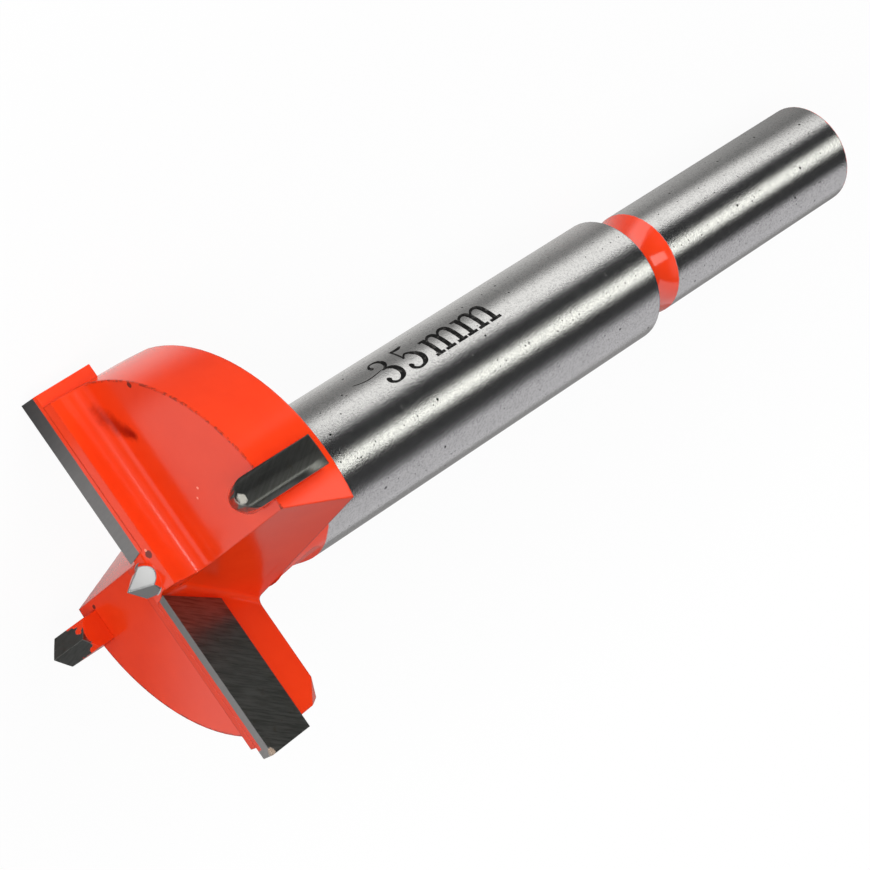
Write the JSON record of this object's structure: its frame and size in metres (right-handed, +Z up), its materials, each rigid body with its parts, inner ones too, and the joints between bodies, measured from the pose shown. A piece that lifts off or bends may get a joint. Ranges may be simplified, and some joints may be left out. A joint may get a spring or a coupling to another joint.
{
  "type": "forstner bit",
  "caption": "Hinge-boring forstner bit: red painted two-wing steel head with brazed carbide cutter plates, scoring spurs and a pyramid point, on a stepped round steel shank.",
  "frame": {"origin": "middle of the underside of the box round the bit as it lies on a table", "axes": "+X from the cutting head towards the tail of the shank, +Z up; the bit lies with one gullet down on a cutter's tip, the wing across that gullet and the tail, so its axis dips towards the tail by about 6 degrees"},
  "size_m": [0.094, 0.0326, 0.0281],
  "materials": {
    "body_steel": "glossy red paint on the head, neck and tail end; ground bare steel on the shank",
    "cutter_carbide": "ground dark grey carbide",
    "spur_carbide": "ground dark grey carbide"
  },
  "bodies": {
    "root": {"body": "body_steel", "cutter_a": "cutter_carbide", "cutter_b": "cutter_carbide", "spur_a": "spur_carbide", "spur_b": "spur_carbide"}
  },
  "joints": []
}
